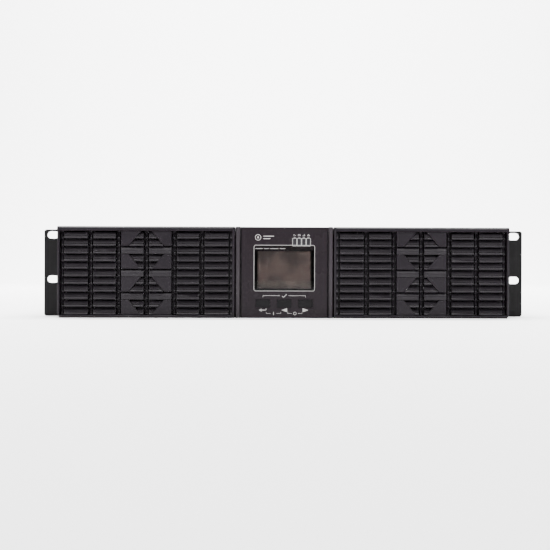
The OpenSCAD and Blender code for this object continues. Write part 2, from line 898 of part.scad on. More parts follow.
// Direct-current bus capacitors standing on the board.
module bus_capacitors() {
    color("#22262c")
        for (x = [-8, 34], y = [-32, 12]) {
            rod_z(x, y, 17.5, [board_top, board_top + 50]);
            rod_z(x, y, 14.5, [board_top + 50, board_top + 50.6]);
        }
}

// Ring-shaped filter chokes lying on the board.
module filter_chokes() {
    color("#a5622b")
        for (x = [0, 46, 120])
            translate([x, -88, board_top + 8])
                rotate_extrude($fn = 48)
                    translate([13.5, 0])
                        round_rect(11, 16, 3);
}

transformer_at = [18, 70];
transformer_h = 50;

// Core with two windows.
module transformer_core() {
    z = board_top;
    color("#4b4a4c")
        translate([transformer_at.x, transformer_at.y, z])
            difference() {
                translate([-30, -13, 0])
                    cube([60, 26, transformer_h]);
                for (x = [-20, 10])
                    translate([x, -14, 10])
                        cube([10, 28, 30]);
            }
}

// Winding round the middle leg of the core.
module transformer_winding() {
    color("#c9a24a")
        translate([transformer_at.x, transformer_at.y, board_top + 10.2])
            difference() {
                translate([-19.8, -23, 0])
                    cube([39.6, 46, 29.6]);
                translate([-10.1, -13.1, -1])
                    cube([20.2, 26.2, 32]);
            }
}

// Transfer relays.
module relays() {
    color("#2c4f73")
        for (i = [0 : 2])
            block([-34 + i * 34, -6 + i * 34], [118, 131], [board_top, board_top + 25]);
}

// Upright control board with its chips and connector.
module control_board() {
    color("#2a4d6b") {
        block([-31, -29.4], [-108, 0], [board_top, 66]);
        block([-31, -26], [-112, -105], [34, 54]);
        block([-29.4, -27.4], [-86, -66], [30, 50]);
        block([-29.4, -27], [-50, -36], [38, 52]);
    }
}

// ---------- Rear panel and its fittings ----------

module rear_panel() {
    color("#2b2a2c")
        difference() {
            union() {
                block([-inner_x, inner_x], [rear_inside, rear_y], [sheet, cover_z]);
                for (side = [0, 1])
                    mirror([side, 0, 0])
                        block([inner_x - sheet, inner_x], [rear_y - 14, rear_inside],
                              [rear_screw_z[0] - 8, rear_screw_z[1] + 8]);
            }
            for (x = fan_x) {
                rod_y(x, fan_z, fan_bore - 0.5, [rear_inside - 1, rear_y + 1]);
                for (sx = [-1, 1], sz = [-1, 1])
                    rod_y(x + sx * 35.75, fan_z + sz * 35.75, 1.7 + clear_hole,
                          [rear_inside - 1, rear_y + 1]);
            }
            for (x = outlet_x, z = outlet_z)
                block([x - outlet_size.x / 2 + 1.5, x + outlet_size.x / 2 - 1.5],
                      [rear_inside - 1, rear_y + 1],
                      [z - outlet_size.y / 2 + 1.5, z + outlet_size.y / 2 - 1.5]);
            block([inlet_x - 14.4, inlet_x + 14.4], [rear_inside - 1, rear_y + 1],
                  [inlet_z - 10.4, inlet_z + 10.4]);
            for (sx = [-1, 1])
                rod_y(inlet_x + sx * 20, inlet_z, 1.5 + clear_hole, [rear_inside - 1, rear_y + 1]);
            rod_y(breaker_x, low_z, breaker_r + 0.2, [rear_inside - 1, rear_y + 1]);
            rod_y(earth_x, low_z, 2.5 + 0.2, [rear_inside - 1, rear_y + 1]);
            block([card_x[0] + 5, card_x[1] - 5], [rear_inside - 1, rear_y + 1],
                  [card_z[0] + 2, card_z[1] - 2]);
            for (x = card_x)
                rod_y(x + (x == card_x[0] ? 2.5 : -2.5), (card_z[0] + card_z[1]) / 2, 1.5 + clear_hole,
                      [rear_inside - 1, rear_y + 1]);
            block([usb_x - 6.4, usb_x + 6.4], [rear_inside - 1, rear_y + 1],
                  [port_board_z + 1.4, port_board_z + 13]);
            block([serial_x - 9.4, serial_x + 9.4], [rear_inside - 1, rear_y + 1],
                  [serial_z - 5.4, serial_z + 5.4]);
            block([network_x[0] - 8.3, network_x[1] + 8.3], [rear_inside - 1, rear_y + 1],
                  [port_board_z + 1.4, port_board_z + 15.4]);
            for (side = [0, 1], z = rear_screw_z)
                mirror([side, 0, 0])
                    rod_x(rear_y - 8, z, 1.5 + clear_hole, [inner_x - 3, wall_x]);
        }
}

// Board behind the signal sockets, on four posts.
module comms_board() {
    color("#23482f") {
        block([-208, -106], [bay_back_y + 8, rear_inside - 1], [port_board_z, port_board_z + 1.6]);
        for (x = [-204, -110], y = [bay_back_y + 12, rear_inside - 8])
            rod_z(x, y, 3, [sheet, port_board_z + 0.2]);
    }
}

// Shell of a signal socket with a rectangular mouth at the rear.
module port_shell(x, w, h, l, lift) {
    z = port_board_z + 1.6 + lift;
    difference() {
        block([x - w / 2, x + w / 2], [rear_inside - l, rear_y + 0.8], [z, z + h]);
        block([x - w / 2 + 1.5, x + w / 2 - 1.5], [rear_inside - l + 5, rear_y + 2],
              [z + 1.2, z + h - 1.2]);
    }
}

module usb_port() {
    color("#b9bbbd") {
        port_shell(usb_x, 12, 11, 14, 0);
        block([usb_x - 2.8, usb_x + 2.8], [rear_inside - 12, rear_y - 0.5],
              [port_board_z + 5.4, port_board_z + 8.6]);
    }
}

// Nine-way socket: flange with two hexagonal posts, and a shell with an insert.
serial_z = port_board_z + 8.5;
module serial_port() {
    color("#9fa1a4") {
        difference() {
            union() {
                block(about(serial_x, 18), [rear_inside - 14, rear_y + 4], about(serial_z, 10));
                block(about(serial_x, 31), [rear_y, rear_y + 0.8], about(serial_z, 12.4));
                for (sx = [-1, 1])
                    translate([serial_x + sx * 12.5, rear_y + 0.4, serial_z])
                        rotate([-90, 0, 0])
                            cylinder(h = 4.4, r = 2.5, $fn = 6);
            }
            block(about(serial_x, 16.4), [rear_inside - 6, rear_y + 5], about(serial_z, 8.4));
        }
        block(about(serial_x, 14), [rear_inside - 7, rear_y + 3], about(serial_z, 5.6));
    }
}

module network_ports() {
    color("#b4b6b8")
        for (x = network_x)
            port_shell(x, 16, 13.6, 16, 0);
}

module card_slot_cover() {
    color("#7e8083")
        difference() {
            union() {
                block(card_x, [rear_y, rear_y + sheet], card_z);
                block([card_x[0] + 20, card_x[1] - 20], [rear_y + sheet - 0.1, rear_y + 4],
                      [card_z[0] + 4, card_z[0] + 5.2]);
            }
            for (x = [card_x[0] + 2.5, card_x[1] - 2.5])
                rod_y(x, (card_z[0] + card_z[1]) / 2, 1.5 + clear_hole, [rear_y - 1, rear_y + 3]);
        }
}

module card_slot_screws() {
    color("#8b8c8e")
        for (x = [card_x[0] + 2.5, card_x[1] - 2.5])
            screw_y(x, (card_z[0] + card_z[1]) / 2, rear_y + sheet, -1, 5, 1.5);
}

// Outline of the well round an appliance connector, with its two cut corners up.
module connector_2d(w, h, cut) {
    polygon([
        [-w / 2, -h / 2], [w / 2, -h / 2], [w / 2, h / 2 - cut], [w / 2 - cut, h / 2],
        [-w / 2 + cut, h / 2], [-w / 2, h / 2 - cut]
    ]);
}

// Socket outlet: flange, body, tongue and three contact slots.
module outlet_shape(x, z) {
    w = outlet_size.x;
    h = outlet_size.y;
    difference() {
        union() {
            plate_y([rear_y, rear_y + 2.4])
                translate([x, z])
                    round_rect(w, h, 2);
            plate_y([rear_inside - 18, rear_y + 1])
                translate([x, z])
                    square([w - 3.4, h - 3.4], center = true);
        }
        plate_y([rear_inside - 12, rear_y + 3])
            translate([x, z])
                difference() {
                    connector_2d(24.8, 17.2, 4);
                    connector_2d(21, 13.4, 3.2);
                }
        for (pin = [[-5.2, -1], [5.2, -1], [0, 2.6]])
            block([x + pin.x - 1.1, x + pin.x + 1.1], [rear_y - 14, rear_y + 3],
                  [z + pin.y - 2.2, z + pin.y + 2.2]);
    }
}

module outlets() {
    color("#19191a")
        for (x = outlet_x, z = outlet_z)
            outlet_shape(x, z);
}

// Mains inlet: flange with two screws, a deep well and three blades.
module mains_inlet() {
    color("#18181a") {
        difference() {
            union() {
                plate_y([rear_y, rear_y + 2.6])
                    translate([inlet_x, inlet_z])
                        round_rect(inlet_size.x, inlet_size.y, 3);
                block([inlet_x - 14, inlet_x + 14], [rear_inside - 19, rear_y + 1],
                      [inlet_z - 10, inlet_z + 10]);
            }
            plate_y([rear_y - 15, rear_y + 3])
                translate([inlet_x, inlet_z])
                    connector_2d(24.6, 16.8, 4);
            for (sx = [-1, 1])
                rod_y(inlet_x + sx * 20, inlet_z, 1.5 + clear_hole, [rear_y - 1, rear_y + 3]);
        }
        for (pin = [[-7, -1.5], [7, -1.5], [0, 2.5]])
            block([inlet_x + pin.x - 1, inlet_x + pin.x + 1], [rear_y - 17, rear_y - 1],
                  [inlet_z + pin.y - 2, inlet_z + pin.y + 2]);
    }
}

// Circuit breaker body with its threaded neck and nut.
breaker_neck = 2.6;
module circuit_breaker() {
    color("#1c1c1e")
        difference() {
            union() {
                block([breaker_x - 9, breaker_x + 9], [rear_inside - 28, rear_inside],
                      [low_z - 12, low_z + 12]);
                rod_y(breaker_x, low_z, breaker_r, [rear_inside - 1, rear_y + breaker_neck]);
                translate([breaker_x, rear_y, low_z])
                    rotate([-90, 0, 0])
                        cylinder(h = 2, r = 8.4, $fn = 6);
            }
            rod_y(breaker_x, low_z, 3.8, [rear_y - 8, rear_y + 5]);
        }
}

// Reset button of the circuit breaker.
module breaker_button() {
    color("#a8322a") {
        rod_y(breaker_x, low_z, 3.5, [rear_y - 4.6, rear_y + rear_reach - 0.8]);
        rod_y(breaker_x, low_z, 3, [rear_y + rear_reach - 0.9, rear_y + rear_reach]);
    }
}

// Earth stud with its washer and nut.
module ground_stud() {
    color("#c9b26a") {
        rod_y(earth_x, low_z, 2.5, [rear_inside - 6, rear_y + 5.6]);
        rod_y(earth_x, low_z, 5.5, [rear_y, rear_y + 0.8]);
        for (y = [rear_y + 0.7, rear_inside - 3])
            translate([earth_x, y, low_z])
                rotate([-90, 0, 0])
                    cylinder(h = 3, r = 4.6, $fn = 6);
    }
}

// ---------- Fans ----------

hub_r = 17;
blade_r = 36.4;
blade_chord = 19;
blade_t = 1.6;
blade_tilt = 35;
fan_screw_at = 35.75;

// Square frame with a round duct, and a motor seat on four struts.
module fan_frame(x) {
    difference() {
        union() {
            difference() {
                plate_y(fan_y)
                    translate([x, fan_z])
                        round_rect(fan_size, fan_size, 5);
                rod_y(x, fan_z, fan_bore - 0.4, [fan_y[0] - 1, fan_y[1] + 1]);
            }
            rod_y(x, fan_z, 15, [fan_y[1] - 3, fan_y[1] - 0.2]);
            translate([x, 0, fan_z])
                for (i = [0 : 3])
                    rotate([0, 45 + 90 * i, 0])
                        block([12, fan_bore + 0.6], [fan_y[1] - 3, fan_y[1] - 0.2], [-2, 2]);
            rod_y(x, fan_z, 3, [fan_y[1] - 9, fan_y[1] - 2]);
        }
        for (sx = [-1, 1], sz = [-1, 1])
            rod_y(x + sx * fan_screw_at, fan_z + sz * fan_screw_at, 1.7, [fan_y[0] - 1, fan_y[1] + 1]);
    }
}

module fan_frame_left() {
    color("#1f1f20")
        fan_frame(fan_x[0]);
}

module fan_frame_right() {
    color("#1f1f20")
        fan_frame(fan_x[1]);
}

// Hub cup with tilted blades.
module fan_rotor(x) {
    hub_y = [fan_y[0] + 1.5, fan_y[1] - 4];
    difference() {
        union() {
            rod_y(x, fan_z, hub_r, hub_y);
            translate([x, (hub_y[0] + hub_y[1]) / 2, fan_z])
                for (i = [0 : blade_count - 1])
                    rotate([0, i * 360 / blade_count, 0])
                        rotate([blade_tilt, 0, 0])
                            block([hub_r - 2, blade_r], [-blade_t / 2, blade_t / 2],
                                  [-blade_chord / 2, blade_chord / 2]);
        }
        rod_y(x, fan_z, hub_r - 2, [hub_y[0] + 3, hub_y[1] + 1]);
        difference() {
            rod_y(x, fan_z, 60, [hub_y[0] - 9, hub_y[1] + 9]);
            rod_y(x, fan_z, blade_r, [hub_y[0] - 10, hub_y[1] + 10]);
        }
    }
    rod_y(x, fan_z, 4, [hub_y[0] + 2, hub_y[1] - 6]);
}

module fan_rotor_left() {
    color("#2a2a2c")
        fan_rotor(fan_x[0]);
}

module fan_rotor_right() {
    color("#2a2a2c")
        fan_rotor(fan_x[1]);
}

// Wire guards outside the rear panel.
guard_wire = 0.8;
module fan_guards() {
    color("#a9abad")
        for (x = fan_x)
            translate([x, rear_y, fan_z]) {
                for (r = [10, 19, 28, 37])
                    translate([0, 2 * guard_wire + 1, 0])
                        rotate([90, 0, 0])
                            rotate_extrude($fn = 64)
                                translate([r, 0])
                                    circle(r = guard_wire, $fn = 16);
                for (i = [0 : 3])
                    rotate([0, 45 + 90 * i, 0]) {
                        rod_x(1.6, 0, guard_wire, [8, fan_screw_at * sqrt(2) - 3]);
                        translate([fan_screw_at * sqrt(2), 0, 0])
                            difference() {
                                rod_y(0, 0, 3.8, [0, 2.4]);
                                rod_y(0, 0, 2, [-1, 3]);
                            }
                    }
            }
}

module fan_screws() {
    color("#77787a")
        for (x = fan_x, sx = [-1, 1], sz = [-1, 1])
            screw_y(x + sx * fan_screw_at, fan_z + sz * fan_screw_at, rear_y + 2.4, -1, 14, 1.6);
}

// ---------- Battery pack ----------

terminal_x = [battery_mid_x - 29, battery_mid_x + 29];
link_r = 1.2;
link_z = tray_z + tray_t + battery_h + link_r + 0.1;
terminal_z = tray_z + tray_t + battery_h - 14;

// Place of battery n along the tray, measured to its front face.
function battery_y(n) = battery_y0 + n * battery_pitch;

// Sliding tray: floor, low sides, a front wall in the doorway and a wall at the back.
module battery_tray() {
    color("#9da0a3")
        difference() {
            union() {
                block(tray_x, [panel_y, tray_back], [tray_z, tray_z + tray_t]);
                for (x = [tray_x[0], tray_x[1] - tray_t])
                    block([x, x + tray_t], [panel_y, tray_back], [tray_z, tray_z + 22]);
                block(tray_x, [panel_y, panel_back], [tray_z, bay_top - 1]);
                block(tray_x, [tray_back - sheet, tray_back], [tray_z, 60]);
            }
            block([plug_x - plug_size.x / 2, plug_x + plug_size.x / 2], [tray_back - 3, tray_back + 1],
                  [plug_z - plug_size.y / 2, plug_z + plug_size.y / 2]);
        }
}

// Cover plate in front of the tray, with a pull lip.
module battery_door() {
    color("#8b8e91")
        difference() {
            union() {
                block([bay_x[0] - 1.2, bay_x[1] + 1.2], [panel_y - sheet, panel_y],
                      [grille_wall + 0.4, bay_top + 0.8]);
                block([battery_mid_x - 35, battery_mid_x + 35], [panel_y - 14, panel_y - sheet + 0.1],
                      [52, 53.4]);
                block([battery_mid_x - 35, battery_mid_x + 35], [panel_y - 14, panel_y - 12.8], [46, 53.4]);
            }
            for (x = [bay_x[0] + 12, bay_x[1] - 12])
                rod_y(x, 36, 2 + clear_hole, [panel_y - 3, panel_y + 1]);
        }
}

// Knurled screws that clamp the door to the tray.
module tray_screws() {
    color("#2a2a2b")
        for (x = [bay_x[0] + 12, bay_x[1] - 12])
            difference() {
                rod_y(x, 36, 6, [panel_y - sheet - 8, panel_y - sheet]);
                for (i = [0 : 11])
                    translate([x, panel_y - sheet - 9, 36])
                        rotate([0, 30 * i, 0])
                            rod_y(6.2, 0, 0.7, [0, 7]);
            }
}

// Sealed lead-acid batteries, lids towards the back, with blade terminals.
module batteries() {
    color("#3b3d42")
        for (n = [0 : battery_count - 1]) {
            block(about(battery_mid_x, battery_l), from(battery_y(n), battery_w - 3),
                  from(tray_z + tray_t, battery_h));
            block(about(battery_mid_x, battery_l - 2), from(battery_y(n) + battery_w - 3.1, 3.1),
                  from(tray_z + tray_t + 1, battery_h - 2));
            for (x = terminal_x)
                block(about(x, 6), from(battery_y(n) + battery_w - 0.1, terminal_l), from(terminal_z, 1));
        }
}

// Leads that join the batteries in series, laid over their tops.
module battery_links() {
    near = terminal_x[0];
    far = terminal_x[1];
    color("#1d1e20") {
        for (n = [0 : battery_count - 2]) {
            y0 = battery_y(n) + battery_w + terminal_l / 2;
            y1 = y0 + battery_pitch;
            wire([[near, y0, terminal_z + 1], [near, y0, link_z], [far, y1 - 10, link_z],
                  [far, y1, link_z], [far, y1, terminal_z + 1]], link_r);
        }
        y_first = battery_y(0) + battery_w + terminal_l / 2;
        y_last = battery_y(battery_count - 1) + battery_w + terminal_l / 2;
        y_plug = tray_back - 3.6;
        wire([[far, y_first, terminal_z + 1], [far, y_first, link_z], [far + 20, y_first + 20, link_z],
              [far + 20, y_plug, link_z], [plug_x + 5, y_plug, link_z],
              [plug_x + 5, y_plug, plug_z + 9.9]], link_r);
        wire([[near, y_last, terminal_z + 1], [near, y_last, link_z], [plug_x - 5, y_plug, link_z],
              [plug_x - 5, y_plug, plug_z + 9.9]], link_r);
    }
}

// Plug at the back of the tray.
module battery_plug() {
    color("#7c2b28") {
        block([plug_x - plug_size.x / 2, plug_x + plug_size.x / 2], [tray_back - 5, socket_y[0] + 8],
              [plug_z - plug_size.y / 2, plug_z + plug_size.y / 2]);
        block([plug_x - 9, plug_x + 9], [tray_back - 5, tray_back - 2.4], [plug_z + 7.9, plug_z + 9.9]);
    }
}

// Socket in the wall behind the bay, which the plug enters as the tray goes home.
module battery_socket() {
    mouth = [plug_size.x / 2 + 0.5, plug_size.y / 2 + 0.5];
    color("#7c2b28")
        difference() {
            union() {
                block([plug_x - 16, plug_x + 16], socket_y, [plug_z - 12, plug_z + 12]);
                block([plug_x - 20, plug_x + 20], [bay_back_y - 2.5, bay_back_y],
                      [plug_z - 15, plug_z + 15]);
            }
            block([plug_x - mouth.x, plug_x + mouth.x], [socket_y[0] - 1, socket_y[0] + 10],
                  [plug_z - mouth.y, plug_z + mouth.y]);
        }
}

// Leads from the battery socket to the main board, clipped along the wall.
module battery_leads() {
    color("#8f2a26")
        for (i = [0, 1]) {
            z = 34 + 12 * i;
            wire([[plug_x + 4, socket_y[1], z], [plug_x + 4, socket_y[1] + 8 + 5 * i, z],
                  [divider_x[0] - 4, socket_y[1] + 14 + 5 * i, z],
                  [divider_x[1] + 8 + 5 * i, bay_back_y + 8, z],
                  [divider_x[1] + 12 + 5 * i, 138, 24], [divider_x[1] + 12 + 5 * i, 138, board_top]], 2);
        }
}

// ---------- Nodes ----------

chassis_base();
top_cover();
front_panel();
rear_panel();
bay_divider();
rack_ear_left();
rack_ear_right();
ear_screws();
case_screws();
display_housing();
display_fascia();
display_screws();
display_lens();
lcd_module();
display_board();
tact_switches();
status_lights();
grille_sockets();
ribbon_cable();
power_board();
board_standoffs();
heatsinks();
power_transistors();
bus_capacitors();
filter_chokes();
transformer_core();
transformer_winding();
relays();
control_board();
comms_board();
usb_port();
serial_port();
network_ports();
card_slot_cover();
card_slot_screws();
outlets();
mains_inlet();
circuit_breaker();
ground_stud();
fan_frame_left();
fan_frame_right();
fan_guards();
fan_screws();
battery_socket();
battery_leads();
enter_button();
left_button();
right_button();
left_grille();
right_grille();
fan_rotor_left();
fan_rotor_right();
breaker_button();
battery_tray();
battery_door();
batteries();
battery_links();
battery_plug();
tray_screws();
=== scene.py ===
import json
import math

import bmesh
import bpy
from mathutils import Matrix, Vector


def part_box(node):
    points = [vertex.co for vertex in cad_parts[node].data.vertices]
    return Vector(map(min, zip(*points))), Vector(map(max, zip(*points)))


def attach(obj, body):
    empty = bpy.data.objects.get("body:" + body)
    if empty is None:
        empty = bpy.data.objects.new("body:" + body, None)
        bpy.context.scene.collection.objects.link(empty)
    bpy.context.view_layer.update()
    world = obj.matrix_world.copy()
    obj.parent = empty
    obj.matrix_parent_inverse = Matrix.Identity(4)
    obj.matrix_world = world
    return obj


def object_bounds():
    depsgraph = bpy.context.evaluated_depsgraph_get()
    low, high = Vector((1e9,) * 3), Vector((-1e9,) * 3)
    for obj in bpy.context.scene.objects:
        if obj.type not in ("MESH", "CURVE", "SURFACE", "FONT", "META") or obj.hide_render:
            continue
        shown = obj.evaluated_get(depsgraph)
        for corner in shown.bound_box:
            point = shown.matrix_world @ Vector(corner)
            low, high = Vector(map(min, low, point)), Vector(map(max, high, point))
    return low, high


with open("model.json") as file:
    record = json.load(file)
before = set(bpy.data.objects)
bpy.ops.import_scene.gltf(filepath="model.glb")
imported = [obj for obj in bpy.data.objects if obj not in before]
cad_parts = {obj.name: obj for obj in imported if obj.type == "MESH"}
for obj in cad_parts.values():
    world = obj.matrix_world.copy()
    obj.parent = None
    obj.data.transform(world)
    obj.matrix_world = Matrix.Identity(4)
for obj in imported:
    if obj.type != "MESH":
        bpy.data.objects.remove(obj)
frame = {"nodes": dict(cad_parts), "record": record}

CAD_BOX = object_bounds()
NODES = frame["nodes"]
MM = 0.001


# ---------- Places taken from the frame ----------

def low(node):
    """Lowest corner of a CAD node."""
    return Vector(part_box(node)[0])


def high(node):
    """Highest corner of a CAD node."""
    return Vector(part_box(node)[1])


def middle(node):
    """Middle of a CAD node's box."""
    return (low(node) + high(node)) / 2


# ---------- Node trees ----------

NOISE_ROUGHNESS = 0.55
EDGE_SAMPLES = 4
# Sockets of a Mix node in colour mode.
MIX_FACTOR = 0
MIX_BELOW = 6
MIX_ABOVE = 7
MIX_RESULT = 2


class Look:
    """A Principled material and short ways to add what varies over its surface."""

    def __init__(self, name, color, roughness, metallic=0.0, specular=0.5, **sockets):
        self.material = bpy.data.materials.new(name)
        self.material.use_nodes = True
        self.nodes = self.material.node_tree.nodes
        self.links = self.material.node_tree.links
        self.shader = self.nodes["Principled BSDF"]
        self.color = color
        self.shader.inputs["Base Color"].default_value = (*color, 1.0)
        self.shader.inputs["Roughness"].default_value = roughness
        self.shader.inputs["Metallic"].default_value = metallic
        self.shader.inputs["Specular IOR Level"].default_value = specular
        for socket, value in sockets.items():
            self.shader.inputs[socket.replace("_", " ")].default_value = value
        self.coordinates = self.nodes.new("ShaderNodeTexCoord").outputs["Object"]
        self.normal = None

    def noise(self, scale, detail=3.0, stretch=(1, 1, 1)):
        """Noise over the object's own space; scale is in cells per metre."""
        mapping = self.nodes.new("ShaderNodeMapping")
        mapping.inputs["Scale"].default_value = stretch
        self.links.new(self.coordinates, mapping.inputs["Vector"])
        texture = self.nodes.new("ShaderNodeTexNoise")
        texture.inputs["Scale"].default_value = scale
        texture.inputs["Detail"].default_value = detail
        texture.inputs["Roughness"].default_value = NOISE_ROUGHNESS
        self.links.new(mapping.outputs["Vector"], texture.inputs["Vector"])
        return texture.outputs["Fac"]

    def spread(self, value, low_in, high_in, low_out, high_out):
        """Maps one range of a value onto another."""
        node = self.nodes.new("ShaderNodeMapRange")
        for socket, number in zip(("From Min", "From Max", "To Min", "To Max"),
                                  (low_in, high_in, low_out, high_out)):
            node.inputs[socket].default_value = number
        self.links.new(value, node.inputs["Value"])
        return node.outputs["Result"]

    def vary_roughness(self, scale, lowest, highest, stretch=(1, 1, 1)):
        """Lets the gloss wander between two roughness values."""
        value = self.spread(self.noise(scale, stretch=stretch), 0.3, 0.7, lowest, highest)
        self.links.new(value, self.shader.inputs["Roughness"])

    def bump(self, height, distance):
        """Raises the surface by a share of a distance, on top of the bumps so far."""
        node = self.nodes.new("ShaderNodeBump")
        node.inputs["Distance"].default_value = distance
        self.links.new(height, node.inputs["Height"])
        if self.normal:
            self.links.new(self.normal, node.inputs["Normal"])
        self.normal = node.outputs["Normal"]
        self.links.new(self.normal, self.shader.inputs["Normal"])

    def blend_color(self, factor, color):
        """Mixes another colour over the one so far."""
        node = self.nodes.new("ShaderNodeMix")
        node.data_type = "RGBA"
        before = self.shader.inputs["Base Color"]
        if before.is_linked:
            self.links.new(before.links[0].from_socket, node.inputs[MIX_BELOW])
        else:
            node.inputs[MIX_BELOW].default_value = before.default_value
        node.inputs[MIX_ABOVE].default_value = (*color, 1.0)
        self.links.new(factor, node.inputs[MIX_FACTOR])
        self.links.new(node.outputs[MIX_RESULT], before)

    def mottle(self, scale, amount, change=1.35):
        """Slight unevenness of the colour, towards one that is change times as strong."""
        lift = 0.004
        factor = self.spread(self.noise(scale, detail=4.0), 0.35, 0.65, 0.0, amount)
        self.blend_color(factor, tuple(min(1.0, c * change + lift) for c in self.color))

    def edge_wear(self, radius, amount, color):
        """Paler edges where the finish is rubbed, broken up by noise."""
        bevel = self.nodes.new("ShaderNodeBevel")
        bevel.samples = EDGE_SAMPLES
        bevel.inputs["Radius"].default_value = radius
        geometry = self.nodes.new("ShaderNodeNewGeometry")
        dot = self.nodes.new("ShaderNodeVectorMath")
        dot.operation = "DOT_PRODUCT"
        self.links.new(bevel.outputs["Normal"], dot.inputs[0])
        self.links.new(geometry.outputs["Normal"], dot.inputs[1])
        flat = 0.985
        rounded_off = 0.86
        edge = self.spread(dot.outputs["Value"], flat, rounded_off, 0.0, 1.0)
        patches = self.spread(self.noise(160, detail=5.0), 0.42, 0.62, 0.0, amount)
        product = self.nodes.new("ShaderNodeMath")
        product.operation = "MULTIPLY"
        self.links.new(edge, product.inputs[0])
        self.links.new(patches, product.inputs[1])
        self.blend_color(product.outputs["Value"], color)


# Noise scales are in cells per metre and bump heights in metres.

def moulded(name, color, roughness, grain=0.02, grain_scale=2600):
    """Moulded plastic with a fine spark-eroded grain, whose height is in millimetres."""
    look = Look(name, color, roughness, specular=0.12)
    look.mottle(14, 0.35)
    look.vary_roughness(60, roughness - 0.05, roughness + 0.07)
    look.bump(look.noise(grain_scale, detail=2.0), grain * MM)
    return look.material


def powder_coat(name, color, roughness=0.42):
    """Powder-coated steel: orange peel, a fine texture and rubbed edges."""
    orange_peel = 0.05 * MM
    texture = 0.012 * MM
    rubbed = tuple(c * 2.2 + 0.03 for c in color)
    look = Look(name, color, roughness, specular=0.16)
    look.mottle(9, 0.22)
    look.edge_wear(0.7 * MM, 0.35, rubbed)
    look.vary_roughness(35, roughness - 0.05, roughness + 0.08)
    look.bump(look.noise(900, detail=2.0), orange_peel)
    look.bump(look.noise(3200, detail=2.0), texture)
    return look.material


def metal(name, color, roughness, stretch=(1, 1, 1)):
    """Bare or plated metal with fine marks, drawn out along one direction by stretch."""
    marks = 0.012 * MM
    marks_per_metre = 900
    look = Look(name, color, roughness, metallic=1.0)
    look.mottle(20, 0.3, 0.8)
    look.vary_roughness(marks_per_metre / 8, roughness - 0.06, roughness + 0.1, stretch)
    look.bump(look.noise(marks_per_metre, stretch=stretch), marks)
    return look.material


def gloss(name, color, roughness, coat=0.0, specular=0.3):
    """Polished plastic with faint ripples and a trace of dust."""
    dust_color = (0.35, 0.34, 0.33)
    ripple = 0.02 * MM
    look = Look(name, color, roughness, specular=specular, Coat_Weight=coat, Coat_Roughness=0.03)
    look.blend_color(look.spread(look.noise(420, detail=6.0), 0.56, 0.72, 0.0, 0.02), dust_color)
    look.vary_roughness(26, roughness * 0.8, roughness * 1.35)
    look.bump(look.noise(16, detail=1.0), ripple)
    return look.material


def circuit(name, color):
    """Solder mask with faint copper traces under it."""
    trace_color = tuple(c * 1.8 + 0.01 for c in color)
    trace_height = 0.03 * MM
    look = Look(name, color, 0.38)
    traces = look.nodes.new("ShaderNodeTexBrick")
    traces.inputs["Scale"].default_value = 140
    traces.inputs["Mortar Size"].default_value = 0.03
    look.links.new(look.coordinates, traces.inputs["Vector"])
    look.blend_color(look.spread(traces.outputs["Fac"], 0, 1, 0, 0.5), trace_color)
    look.bump(traces.outputs["Fac"], trace_height)
    return look.material


def wound(name, color, turns_per_metre, roughness=0.35, metallic=0.6):
    """Enamelled wire or tape laid in turns, with painted shade darkening the grooves between the turns."""
    # Painted shade: a darker copy of the colour, mixed in towards the bottom of each groove between the
    # turns, where the bump is lowest.
    painted_groove_shade = tuple(c * 0.35 for c in color)
    groove_depth = 0.25 * MM
    look = Look(name, color, roughness, metallic=metallic)
    wave = look.nodes.new("ShaderNodeTexWave")
    wave.bands_direction = "DIAGONAL"
    wave.inputs["Scale"].default_value = turns_per_metre
    wave.inputs["Distortion"].default_value = 0.4
    look.links.new(look.coordinates, wave.inputs["Vector"])
    look.blend_color(look.spread(wave.outputs["Fac"], 0, 0.5, 0.6, 0), painted_groove_shade)
    look.bump(wave.outputs["Fac"], groove_depth)
    return look.material


# Each finish: the function that makes it, its colour and then that function's own values.
FINISHES = {
    "chassis_paint": (powder_coat, (0.016, 0.0153, 0.0163)),
    "ear_paint": (powder_coat, (0.0024, 0.0020, 0.0025), 0.55),
    "front_sheet": (powder_coat, (0.002, 0.002, 0.0022), 0.6),
    "zinc_steel": (metal, (0.55, 0.56, 0.57), 0.38, (1, 8, 1)),
    "screw_steel": (metal, (0.13, 0.13, 0.14), 0.36),
    "grille_plastic": (moulded, (0.0100, 0.0080, 0.0103), 0.34),
    "housing_plastic": (moulded, (0.0250, 0.0212, 0.0245), 0.38, 0.012),
    "fascia_gloss": (gloss, (0.0132, 0.0101, 0.0124), 0.24, 0.0, 0.08),
    "button_plastic": (moulded, (0.0026, 0.0024, 0.0030), 0.3, 0.006),
    "light_guide": (gloss, (0.02, 0.019, 0.022), 0.16, 0.2),
    "circuit_green": (circuit, (0.012, 0.07, 0.028)),
    "circuit_blue": (circuit, (0.012, 0.04, 0.1)),
    "black_plastic": (moulded, (0.014, 0.014, 0.015), 0.45, 0.015),
    "flat_cable": (moulded, (0.2, 0.21, 0.23), 0.5, 0.01),
    "brass_posts": (metal, (0.62, 0.46, 0.2), 0.3),
    "bare_aluminium": (metal, (0.62, 0.63, 0.64), 0.5, (1, 0.05, 1)),
    "capacitor_sleeve": (gloss, (0.015, 0.02, 0.035), 0.25, 0.2),
    "copper_wire": (wound, (0.6, 0.27, 0.1), 240),
    "winding_tape": (wound, (0.6, 0.4, 0.08), 60, 0.45, 0.0),
    "core_steel": (moulded, (0.045, 0.045, 0.05), 0.6, 0.03),
    "relay_plastic": (gloss, (0.02, 0.07, 0.18), 0.25, 0.2),
    "nickel": (metal, (0.58, 0.58, 0.57), 0.24),
    "card_cover_steel": (powder_coat, (0.1, 0.1, 0.105), 0.4),
    "red_plastic": (gloss, (0.38, 0.025, 0.018), 0.3, 0.1),
    "battery_case": (moulded, (0.035, 0.037, 0.043), 0.5, 0.05, 1200),
    "black_wire": (moulded, (0.012, 0.012, 0.012), 0.4, 0.01),
    "red_wire": (moulded, (0.3, 0.015, 0.012), 0.4, 0.01),
}


